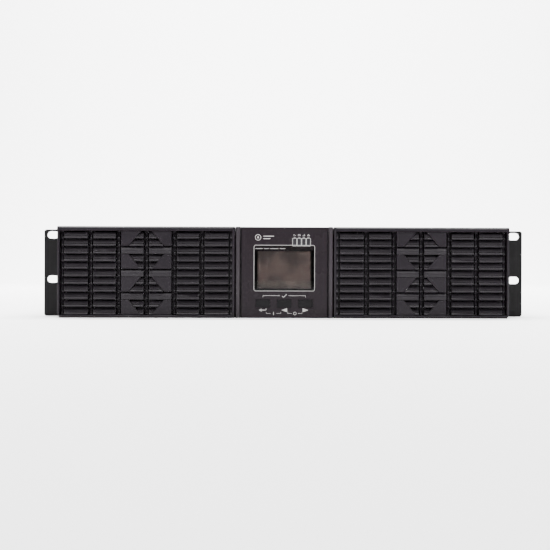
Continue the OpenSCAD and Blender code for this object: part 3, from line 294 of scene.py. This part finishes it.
def lens_look():
    """Clear window over the display, with a hard glossy surface."""
    look = Look("lens_clear", (0.9, 0.88, 0.86), 0.03, Transmission_Weight=1.0, IOR=1.3)
    look.bump(look.noise(12, detail=1.0), 0.01 * MM)
    return look.material


def lcd_look():
    """Reflective display that is off: a faint grid of cells over a cloudy grey-brown ground."""
    cloud_color = (0.022, 0.015, 0.014)
    cell_color = (0.045, 0.036, 0.032)
    look = Look("lcd_glass", (0.062, 0.042, 0.040), 0.34, specular=0.3)
    clouds = look.spread(look.noise(46, detail=1.0, stretch=(1, 1, 1.2)), 0.4, 0.58, 0.0, 0.85)
    look.blend_color(clouds, cloud_color)
    grid = look.nodes.new("ShaderNodeTexBrick")
    grid.offset = 0.0
    grid.inputs["Scale"].default_value = 1600
    grid.inputs["Mortar Size"].default_value = 0.06
    grid.inputs["Brick Width"].default_value = 1.0
    grid.inputs["Row Height"].default_value = 1.0
    turn = look.nodes.new("ShaderNodeMapping")
    turn.inputs["Rotation"].default_value = (math.pi / 2, 0, 0)
    look.links.new(look.coordinates, turn.inputs["Vector"])
    look.links.new(turn.outputs["Vector"], grid.inputs["Vector"])
    look.blend_color(look.spread(grid.outputs["Fac"], 0, 1, 0, 0.12), cell_color)
    return look.material


def print_look():
    """White pad-printed ink."""
    look = Look("white_ink", (0.42, 0.41, 0.4), 0.5)
    look.mottle(300, 0.3, 0.8)
    return look.material


LOOKS = {name: make(name, *values) for name, (make, *values) in FINISHES.items()}
LOOKS["lens_clear"] = lens_look()
LOOKS["lcd_glass"] = lcd_look()
INK = print_look()


# ---------- CAD nodes: materials and softened edges ----------

# Edge radius in millimetres for the nodes whose edges are seen. The chassis base isn't among
# them, because a bevel there streaks the shading between its screw holes.
EDGE_RADIUS = {
    "left_grille": 0.16, "right_grille": 0.16, "display_housing": 0.4, "display_fascia": 0.35,
    "enter_button": 0.35, "left_button": 0.35, "right_button": 0.35, "display_lens": 0.15,
    "rack_ear_left": 0.3, "rack_ear_right": 0.3, "top_cover": 0.5, "rear_panel": 0.25,
    "outlets": 0.3, "mains_inlet": 0.3, "circuit_breaker": 0.25, "breaker_button": 0.3, "ground_stud": 0.2,
    "fan_frame_left": 0.3, "fan_frame_right": 0.3, "fan_rotor_left": 0.3, "fan_rotor_right": 0.3,
    "card_slot_cover": 0.3, "ear_screws": 0.25, "case_screws": 0.2, "fan_screws": 0.2,
    "card_slot_screws": 0.2, "battery_door": 0.3, "battery_tray": 0.3, "batteries": 1.0,
    "tray_screws": 0.3, "battery_plug": 0.5, "usb_port": 0.12, "serial_port": 0.15, "network_ports": 0.15,
    "status_lights": 0.12,
}
SHARP_ANGLE = math.radians(24)
WELD_DISTANCE = 0.002 * MM


def soften(node):
    """Rounds a node's edges with a narrow bevel; its own mesh isn't touched."""
    weld = NODES[node].modifiers.new("weld", "WELD")
    weld.merge_threshold = WELD_DISTANCE
    bevel = NODES[node].modifiers.new("soft_edge", "BEVEL")
    bevel.width = EDGE_RADIUS[node] * MM
    bevel.segments = 2
    bevel.limit_method = "ANGLE"
    bevel.angle_limit = SHARP_ANGLE
    bevel.harden_normals = True


for part in frame["record"]["subparts"]:
    node_object = NODES[part["node"]]
    node_object.data.materials.clear()
    node_object.data.materials.append(LOOKS[part["material_slot"]])
for node_name in EDGE_RADIUS:
    soften(node_name)


# ---------- Printed marks on the fascia ----------

INK_THICKNESS = 0.05 * MM
INK_SUNK = 0.01 * MM
FASCIA_Y = low("display_fascia").y
LENS_Y = low("display_lens").y
LINE = 0.42 * MM
THIN = 0.28 * MM


def print_piece(name, outlines, surface=FASCIA_Y):
    """Thin raised print on the front at depth surface. Each outline is a closed list of (x, z)
    points, or a pair of such lists of equal length, the outer and the inner edge of a ring."""
    mesh = bmesh.new()
    for outline in outlines:
        ring = isinstance(outline[0], list)
        outer = outline[0] if ring else outline
        back = [mesh.verts.new((x, surface + INK_SUNK, z)) for x, z in outer]
        front = [mesh.verts.new((x, surface - INK_THICKNESS, z)) for x, z in outer]
        count = len(outer)
        if ring:
            inner = outline[1]
            inner_back = [mesh.verts.new((x, surface + INK_SUNK, z)) for x, z in inner]
            inner_front = [mesh.verts.new((x, surface - INK_THICKNESS, z)) for x, z in inner]
        for i in range(count):
            j = (i + 1) % count
            mesh.faces.new((front[i], front[j], back[j], back[i]))
            if ring:
                mesh.faces.new((inner_front[j], inner_front[i], inner_back[i], inner_back[j]))
                mesh.faces.new((front[i], inner_front[i], inner_front[j], front[j]))
                mesh.faces.new((back[j], inner_back[j], inner_back[i], back[i]))
        if not ring:
            mesh.faces.new(list(reversed(front)))
            mesh.faces.new(back)
    bmesh.ops.recalc_face_normals(mesh, faces=mesh.faces)
    data = bpy.data.meshes.new(name)
    mesh.to_mesh(data)
    mesh.free()
    piece = bpy.data.objects.new(name, data)
    bpy.context.scene.collection.objects.link(piece)
    piece.data.materials.append(INK)
    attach(piece, "root")


def rounded(x0, x1, z0, z1, radius):
    """Rectangle with round corners."""
    steps = 6
    points = []
    corners = ((x1 - radius, z1 - radius, 0), (x0 + radius, z1 - radius, 90),
               (x0 + radius, z0 + radius, 180), (x1 - radius, z0 + radius, 270))
    for cx, cz, start in corners:
        for k in range(steps + 1):
            angle = math.radians(start + 90 * k / steps)
            points.append((cx + radius * math.cos(angle), cz + radius * math.sin(angle)))
    return points


def outline_ring(x0, x1, z0, z1, radius, line):
    """Line round a rounded rectangle, its middle on the given edges."""
    least_radius = 0.05 * MM
    h = line / 2
    return [rounded(x0 - h, x1 + h, z0 - h, z1 + h, radius + h),
            rounded(x0 + h, x1 - h, z0 + h, z1 - h, max(radius - h, least_radius))]


def bar(x0, z0, x1, z1, line=LINE):
    """Straight stroke between two points."""
    along = Vector((x1 - x0, z1 - z0)).normalized() * (line / 2)
    side = Vector((-along.y, along.x))
    ends = ((x0 - along.x, z0 - along.y), (x1 + along.x, z1 + along.y))
    return [(ends[0][0] + side.x, ends[0][1] + side.y), (ends[0][0] - side.x, ends[0][1] - side.y),
            (ends[1][0] - side.x, ends[1][1] - side.y), (ends[1][0] + side.x, ends[1][1] + side.y)]


def disc(x, z, radius):
    """Filled circle."""
    steps = 24
    angles = [2 * math.pi * k / steps for k in range(steps)]
    return [(x + radius * math.cos(angle), z + radius * math.sin(angle)) for angle in angles]


def circle_ring(x, z, radius):
    """Line round a circle."""
    return [disc(x, z, radius + LINE / 2), disc(x, z, radius - LINE / 2)]


def triangle(x, z, width, height, direction):
    """Filled triangle that points left (-1) or right (1)."""
    return [(x + direction * width / 2, z), (x - direction * width / 2, z + height / 2),
            (x - direction * width / 2, z - height / 2)]


LENS_LOW = low("display_lens")
LENS_HIGH = high("display_lens")
BUTTONS = [middle(n) for n in ("enter_button", "left_button", "right_button")]
LIGHT_LOW = low("status_lights")
LIGHT_HIGH = high("status_lights")
LIGHT_COUNT = 4
LIGHT_WIDTH = 3.0 * MM
LIGHT_PITCH = (LIGHT_HIGH.x - LIGHT_LOW.x - LIGHT_WIDTH) / (LIGHT_COUNT - 1)


def light_x(index):
    """Middle of a status light."""
    return LIGHT_LOW.x + LIGHT_WIDTH / 2 + index * LIGHT_PITCH


def display_outline():
    """White line round the display."""
    gap = 0.3 * MM
    radius = 1.8 * MM
    line = 0.36 * MM
    print_piece("display_outline", [outline_ring(LENS_LOW.x - gap, LENS_HIGH.x + gap,
                                                 LENS_LOW.z - gap, LENS_HIGH.z + gap, radius, line)])


def light_outlines():
    """White line round each status light."""
    gap = 0.5 * MM
    radius = 0.5 * MM
    line = 0.34 * MM
    half = LIGHT_WIDTH / 2 + gap
    windows = [outline_ring(light_x(i) - half, light_x(i) + half,
                            LIGHT_LOW.z - gap, LIGHT_HIGH.z + gap, radius, line)
               for i in range(LIGHT_COUNT)]
    print_piece("light_outlines", windows)


# Each icon is about 2.2 mm wide, round a middle x and a height z.
ICON_HALF = 1.1 * MM


def wave_icon(x, z):
    """Mains wave."""
    stroke = 0.4 * MM
    height = 0.55 * MM
    turn = 1.05
    return [bar(x + (k - 3) * stroke, z + height * math.sin(k * turn),
                x + (k - 2) * stroke, z + height * math.sin((k + 1) * turn), THIN)
            for k in range(6)]


def battery_icon(x, z):
    """Battery with its pole on the right."""
    half_height = 0.6 * MM
    half_pole = 0.25 * MM
    case_end = x + ICON_HALF * 0.7
    case = outline_ring(x - ICON_HALF, case_end, z - half_height, z + half_height, 0.15 * MM, THIN)
    return [case, bar(x + ICON_HALF, z - half_pole, x + ICON_HALF, z + half_pole, THIN)]


def level_icon(x, z):
    """Three bars, each taller than the one before it."""
    pitch = 0.75 * MM
    foot = z - 0.7 * MM
    top = z - 0.5 * MM
    rise = 0.5 * MM
    return [bar(x + (k - 1) * pitch, foot, x + (k - 1) * pitch, top + k * rise, 0.4 * MM) for k in range(3)]


def fault_icon(x, z):
    """Warning triangle."""
    foot = z - 0.7 * MM
    tip = z + 0.9 * MM
    return [bar(x - ICON_HALF, foot, x, tip, THIN), bar(x, tip, x + ICON_HALF, foot, THIN),
            bar(x + ICON_HALF, foot, x - ICON_HALF, foot, THIN)]


def light_icons():
    """One small pictogram above each light, and a dash between the two."""
    icon_z = LIGHT_HIGH.z + 3.6 * MM
    dash_z = LIGHT_HIGH.z + 1.5 * MM
    half_dash = 0.9 * MM
    icons = []
    for index, icon in enumerate((wave_icon, battery_icon, level_icon, fault_icon)):
        icons += icon(light_x(index), icon_z)
    print_piece("light_icons", icons)
    print_piece("light_ticks", [bar(light_x(i) - half_dash, dash_z, light_x(i) + half_dash, dash_z, THIN)
                                for i in range(LIGHT_COUNT)])


def brackets(name, x0, x1, gap0, gap1, z, drop):
    """Line from x0 to x1, open between gap0 and gap1 for a symbol. Its ends turn down by drop,
    or up if that is below zero."""
    print_piece(name, [bar(x0, z, gap0, z, THIN), bar(gap1, z, x1, z, THIN),
                       bar(x0, z, x0, z - drop, THIN), bar(x1, z, x1, z - drop, THIN)])


def button_arrows():
    """Arrow under each button: a return arrow, then left and right."""
    left, centre, right = BUTTONS
    arrow_z = left.z - 6.4 * MM
    stroke = 0.6 * MM
    tail_x = left.x + 3 * MM
    print_piece("enter_arrow", [bar(tail_x, arrow_z + 1.4 * MM, tail_x, arrow_z, stroke),
                                bar(tail_x, arrow_z, left.x - 2 * MM, arrow_z, stroke),
                                triangle(left.x - 2.6 * MM, arrow_z, 3 * MM, 2.8 * MM, -1)])
    for name, x, direction in (("left_arrow", centre.x, -1), ("right_arrow", right.x, 1)):
        print_piece(name, [triangle(x, arrow_z, 5.6 * MM, 3.8 * MM, direction)])


def test_mark():
    """Bracket over all three buttons, with a tick in its gap."""
    left, centre, right = BUTTONS
    z = left.z + 7.6 * MM
    half_gap = 4.4 * MM
    brackets("test_bracket", left.x, right.x, centre.x - half_gap, centre.x + half_gap, z, 1.6 * MM)
    low_x = centre.x - 0.6 * MM
    low_z = z - 1.7 * MM
    print_piece("test_symbol", [bar(centre.x - 2 * MM, z - 0.6 * MM, low_x, low_z),
                                bar(low_x, low_z, centre.x + 2.2 * MM, z + 1.3 * MM)])


def pair_marks():
    """Bracket under each pair of buttons, with the signs for on and off in their gaps."""
    left, centre, right = BUTTONS
    z = left.z - 9.6 * MM
    reach = 7 * MM
    half_gap = 3 * MM
    on_x = (left.x + centre.x) / 2
    off_x = (centre.x + right.x) / 2
    for name, x in (("on_bracket", on_x), ("off_bracket", off_x)):
        brackets(name, x - reach, x + reach, x - half_gap, x + half_gap, z, -1.4 * MM)
    print_piece("on_symbol", [bar(on_x, z - 1.3 * MM, on_x, z + 1.3 * MM, 0.55 * MM)])
    print_piece("off_symbol", [circle_ring(off_x, z, 1.35 * MM)])


def corner_mark():
    """Plain round mark with a bolt in it, and two bars beside it, in the upper left corner."""
    bar_start = 5.4 * MM
    x = LENS_LOW.x + 3.6 * MM
    z = LENS_HIGH.z + 7.8 * MM
    bolt = [(x + 0.4 * MM, z + 1.7 * MM), (x - 1.1 * MM, z - 0.3 * MM), (x - 0.1 * MM, z - 0.3 * MM),
            (x - 0.4 * MM, z - 1.7 * MM), (x + 1.1 * MM, z + 0.35 * MM), (x + 0.1 * MM, z + 0.35 * MM)]
    bars = [bar(x + bar_start, z + rise * MM, x + end * MM, z + rise * MM, 0.6 * MM)
            for rise, end in ((1.2, 15.0), (-1.2, 11.5))]
    print_piece("corner_mark", [circle_ring(x, z, 2.7 * MM), bolt] + bars)


def lens_bars():
    """Row of short bars printed on the lens, along its upper edge."""
    gap = 1.8 * MM
    bar_z = LENS_HIGH.z - 3.0 * MM
    start = LENS_LOW.x + 1.4 * MM
    bars = []
    for length in (6.5, 4, 7.5, 5):
        end = start + length * MM
        bars.append(bar(start, bar_z, end, bar_z))
        start = end + gap
    print_piece("lens_bars", bars, LENS_Y)


display_outline()
light_outlines()
light_icons()
button_arrows()
test_mark()
pair_marks()
corner_mark()
lens_bars()


# ---------- Stage, lights and camera ----------

def studio_paper():
    """Matt white paper."""
    roughness = 0.8
    look = Look("studio_paper", (0.86, 0.86, 0.86), roughness, specular=0.2)
    look.vary_roughness(3, roughness - 0.05, roughness + 0.05)
    return look.material


def stage():
    """Pale floor that curves up into a backdrop. Its sizes are in metres."""
    half_width = 7.0
    radius = 1.2
    front = -4.0
    back = 2.4
    top = 4.5
    steps = 16
    profile = [(front, 0.0)]
    for k in range(steps + 1):
        angle = math.radians(90 * k / steps)
        profile.append((back + radius * math.sin(angle), radius - radius * math.cos(angle)))
    profile.append((back + radius, top))
    mesh = bmesh.new()
    rows = [[mesh.verts.new((x, y, z)) for x in (-half_width, half_width)] for y, z in profile]
    for a, b in zip(rows, rows[1:]):
        face = mesh.faces.new((a[0], a[1], b[1], b[0]))
        face.smooth = True
    data = bpy.data.meshes.new("studio_floor")
    mesh.to_mesh(data)
    mesh.free()
    floor = bpy.data.objects.new("studio_floor", data)
    bpy.context.scene.collection.objects.link(floor)
    floor.data.materials.append(studio_paper())


def area_light(name, place, target, size, power):
    """Soft rectangular light that faces a point; lengths in metres and power in watts."""
    data = bpy.data.lights.new(name, "AREA")
    data.shape = "RECTANGLE"
    data.size = size[0]
    data.size_y = size[1]
    data.energy = power
    light = bpy.data.objects.new(name, data)
    light.location = place
    light.rotation_euler = (Vector(target) - Vector(place)).to_track_quat("-Z", "Y").to_euler()
    bpy.context.scene.collection.objects.link(light)


def lights():
    """Wide overhead soft box, weak side fills and a lit backdrop."""
    centre = (Vector(CAD_BOX[0]) + Vector(CAD_BOX[1])) / 2
    backdrop = (0.0, 3.2, 0.4)
    area_light("top_softbox", (0.0, -0.55, 1.7), centre, (2.4, 1.1), 120)
    area_light("left_fill", (-1.7, -1.2, 0.9), centre, (0.8, 1.0), 3)
    area_light("right_fill", (1.7, -1.2, 0.9), centre, (0.8, 1.0), 2)
    area_light("back_wash", (0.0, 0.9, 2.8), backdrop, (4.0, 1.0), 950)
    world = bpy.data.worlds.new("studio_air")
    world.use_nodes = True
    air = world.node_tree.nodes["Background"]
    air.inputs["Color"].default_value = (0.97, 0.97, 1.0, 1.0)
    air.inputs["Strength"].default_value = 0.2
    bpy.context.scene.world = world


def camera():
    """Nearly straight view of the front, level with the bezel's middle."""
    distance_to_ears = 0.936
    pitch = math.radians(90)
    roll = math.radians(-0.18)
    yaw = math.radians(-1.2)
    ear_plane_y = low("rack_ear_left").y
    data = bpy.data.cameras.new("front_camera")
    data.sensor_width = 36.0
    data.lens = 60.6
    data.shift_x = -0.0522
    data.shift_y = -0.0045
    data.clip_start = 0.05
    view = bpy.data.objects.new("front_camera", data)
    view.location = (0.0, ear_plane_y - distance_to_ears, middle("display_fascia").z)
    view.rotation_euler = (pitch, roll, yaw)
    bpy.context.scene.collection.objects.link(view)
    bpy.context.scene.camera = view


stage()
lights()
camera()
